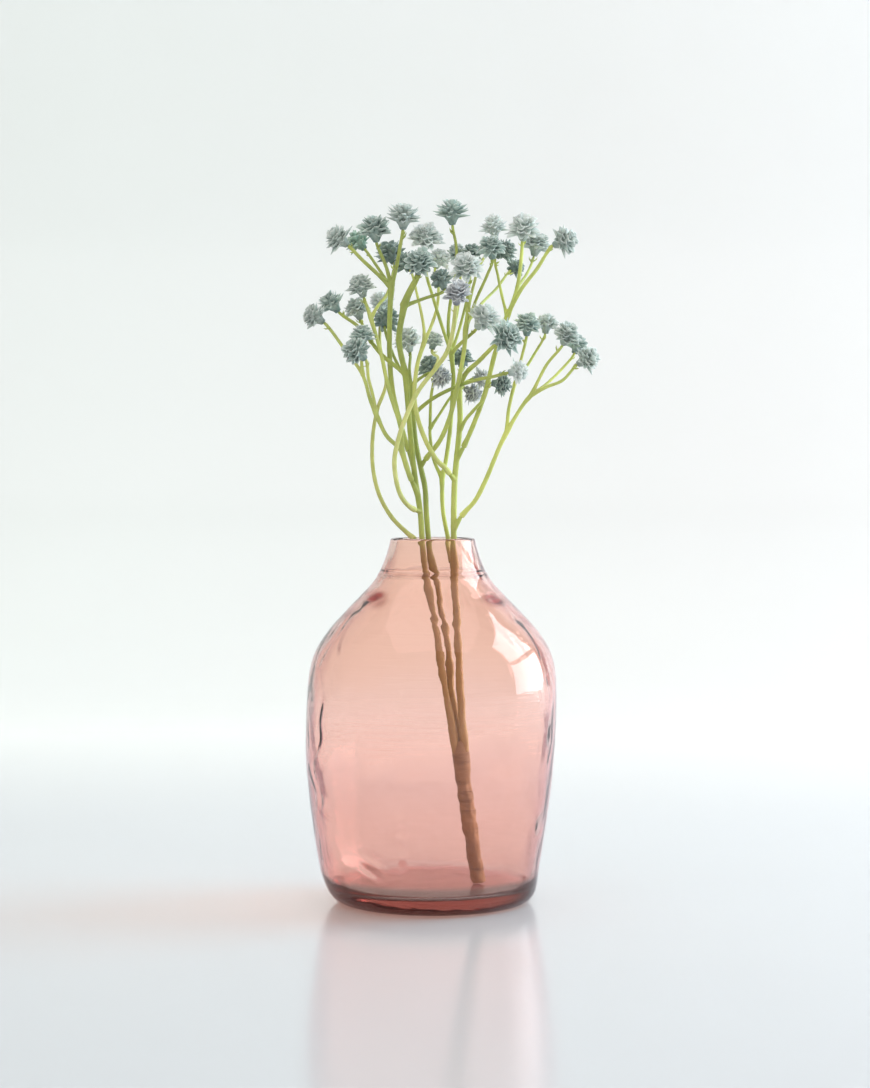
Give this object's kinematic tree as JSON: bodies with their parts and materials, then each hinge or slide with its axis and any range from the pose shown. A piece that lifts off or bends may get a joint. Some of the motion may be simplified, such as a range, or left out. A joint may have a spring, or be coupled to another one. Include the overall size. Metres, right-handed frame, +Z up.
{
  "type": "glass bud vase",
  "caption": "Round-shouldered blown-glass bud vase with a short narrow neck and heavy base, holding a lift-out artificial spray of branching stems with small rosette flower heads",
  "frame": {"origin": "centre of the vase's flat resting face, on the table plane", "axes": "+Z up out of the mouth, +X to the right seen from the front, -Y towards the front of the arrangement"},
  "size_m": [0.1166, 0.1005, 0.2802],
  "materials": {
    "rose_glass": "clear hand-blown rose glass with a salmon tint, darker and redder in the thick base",
    "handle_olive": "matte olive-brown moulded plastic",
    "stem_green": "matte dark olive moulded plastic over wire",
    "sprig_green": "matte yellow-green moulded plastic",
    "sprig_light": "matte pale yellow-green moulded plastic",
    "petal_grey": "soft matte grey-green with pale petal edges",
    "petal_pale": "soft matte grey-white",
    "petal_blue": "soft matte slate blue with pale petal edges",
    "petal_teal": "soft matte grey teal",
    "petal_dark": "soft matte dark blue-green",
    "petal_lilac": "soft matte grey lilac"
  },
  "bodies": {
    "vase": {"vase": "rose_glass"},
    "spray": {"stem_handle": "handle_olive", "stem_a": "stem_green", "stem_b": "stem_green", "stem_c": "stem_green", "sprig_01": "sprig_light", "sprig_02": "sprig_green", "sprig_03": "sprig_light", "sprig_04": "sprig_green", "sprig_05": "sprig_light", "sprig_06": "sprig_green", "sprig_07": "sprig_green", "sprig_08": "sprig_green", "sprig_09": "sprig_light", "head_01": "petal_grey", "head_02": "petal_teal", "head_03": "petal_blue", "head_04": "petal_grey", "head_05": "petal_blue", "head_06": "petal_pale", "head_07": "petal_blue", "head_08": "petal_dark", "head_09": "petal_pale", "head_10": "petal_dark", "head_11": "petal_grey", "head_12": "petal_pale", "head_13": "petal_pale", "head_14": "petal_blue", "head_15": "petal_dark", "head_16": "petal_dark", "head_17": "petal_pale", "head_18": "petal_grey", "head_19": "petal_grey", "head_20": "petal_dark", "head_21": "petal_lilac", "head_22": "petal_grey", "head_23": "petal_blue", "head_24": "petal_grey", "head_25": "petal_grey", "head_26": "petal_pale", "head_27": "petal_dark", "head_28": "petal_blue", "head_29": "petal_blue", "head_30": "petal_pale", "head_31": "petal_grey", "head_32": "petal_dark", "head_33": "petal_lilac", "head_34": "petal_pale", "head_35": "petal_blue", "head_36": "petal_blue", "head_37": "petal_grey", "head_38": "petal_grey", "head_39": "petal_blue", "head_40": "petal_grey", "head_41": "petal_pale", "head_42": "petal_dark", "head_43": "petal_lilac", "head_44": "petal_dark", "head_45": "petal_lilac", "head_46": "petal_dark"}
  },
  "joints": [
    {"name": "lift_out", "type": "slide", "parent": "vase", "child": "spray", "axis": [-0.1367, 0, 0.9906], "range_m": [0, 0.145]}
  ]
}
